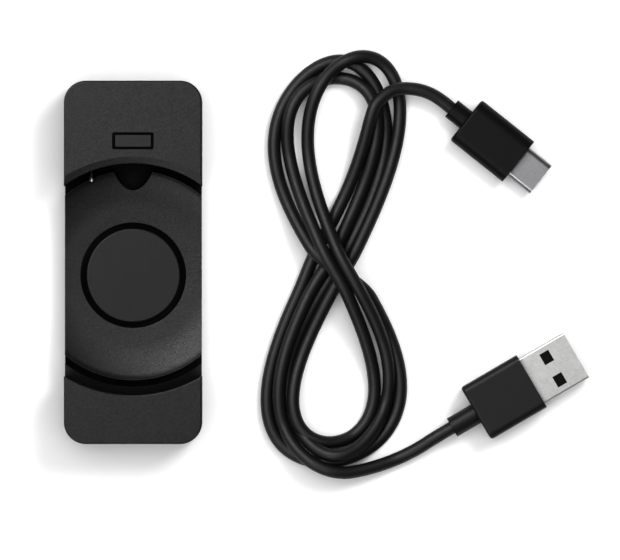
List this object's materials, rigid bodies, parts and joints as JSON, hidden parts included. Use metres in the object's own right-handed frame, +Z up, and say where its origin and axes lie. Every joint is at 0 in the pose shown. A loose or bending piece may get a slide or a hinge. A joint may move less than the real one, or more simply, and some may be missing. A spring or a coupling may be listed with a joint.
{
  "type": "charging cradle with cable",
  "caption": "Black charging cradle for a round watch tracker: dished recess with sprung contacts, USB-C socket in its end, and a loose USB-C to USB-A cable in a figure-eight.",
  "frame": {"origin": "middle of the cradle's underside, on the surface that its feet stand on", "axes": "+Z up; +Y along the cradle towards its USB-C socket; +X to the right, where the cable lies"},
  "size_m": [0.122, 0.1002, 0.0128],
  "materials": {
    "housing_plastic": "black, fine matt grain",
    "cover_plastic": "black, matt",
    "disc_plastic": "black, fine satin grain",
    "window_plastic": "smoked black, satin",
    "foot_rubber": "matt",
    "screw_steel": "zinc plated",
    "board_laminate": "green solder mask",
    "lamp_body": "pale lens",
    "chip_resin": "moulded resin",
    "ceramic": "fired ceramic",
    "plug_steel": "satin nickel plating",
    "usb_a_steel": "bright, fine mottled plating",
    "connector_plastic": "black",
    "gold_contact": "gold plated",
    "plunger_nickel": "nickel plated, dulled",
    "spring_steel": "bright drawn wire",
    "cord_sheath": "black, smooth semi-gloss sheath",
    "overmould_plastic": "black, satin"
  },
  "bodies": {
    "cradle": {"upper_housing": "housing_plastic", "base_cover": "cover_plastic", "centre_disc": "disc_plastic", "indicator_window": "window_plastic", "anti_slip_feet": "foot_rubber", "cover_screws": "screw_steel", "board_screws": "screw_steel", "circuit_board": "board_laminate", "indicator_led": "lamp_body", "charge_controller": "chip_resin", "board_components": "ceramic", "usb_socket_shell": "plug_steel", "usb_socket_tongue": "connector_plastic", "usb_socket_contacts": "gold_contact", "pin_carrier": "connector_plastic", "contact_barrels": "gold_contact", "pin_leads": "gold_contact", "contact_spring_lower": "spring_steel", "contact_spring_upper": "spring_steel"},
    "lower_plunger": {"contact_pin_lower": "plunger_nickel"},
    "upper_plunger": {"contact_pin_upper": "plunger_nickel"},
    "cable": {"cable_coil": "cord_sheath", "cable_tail_c": "cord_sheath", "cable_tail_a": "cord_sheath", "usb_c_collar": "overmould_plastic", "usb_c_overmould": "overmould_plastic", "usb_c_shell": "plug_steel", "usb_c_insulator": "connector_plastic", "usb_c_contacts": "gold_contact", "usb_c_board": "board_laminate", "usb_a_collar": "overmould_plastic", "usb_a_overmould": "overmould_plastic", "usb_a_shell": "usb_a_steel", "usb_a_insulator": "connector_plastic", "usb_a_contacts": "gold_contact"}
  },
  "joints": [
    {"name": "lower_contact_press", "type": "slide", "parent": "cradle", "child": "lower_plunger", "axis": [0, 1, 0], "range_m": [0, 0.0008], "stiffness_N_per_m": 600, "springref_m": -0.0005, "deforming": ["contact_spring_lower"]},
    {"name": "upper_contact_press", "type": "slide", "parent": "cradle", "child": "upper_plunger", "axis": [0, 1, 0], "range_m": [0, 0.0008], "stiffness_N_per_m": 600, "springref_m": -0.0005, "deforming": ["contact_spring_upper"]},
    {"name": "cable_lift", "type": "slide", "parent": "cradle", "child": "cable", "axis": [0, 0, 1], "range_m": [0, 0.04]}
  ]
}
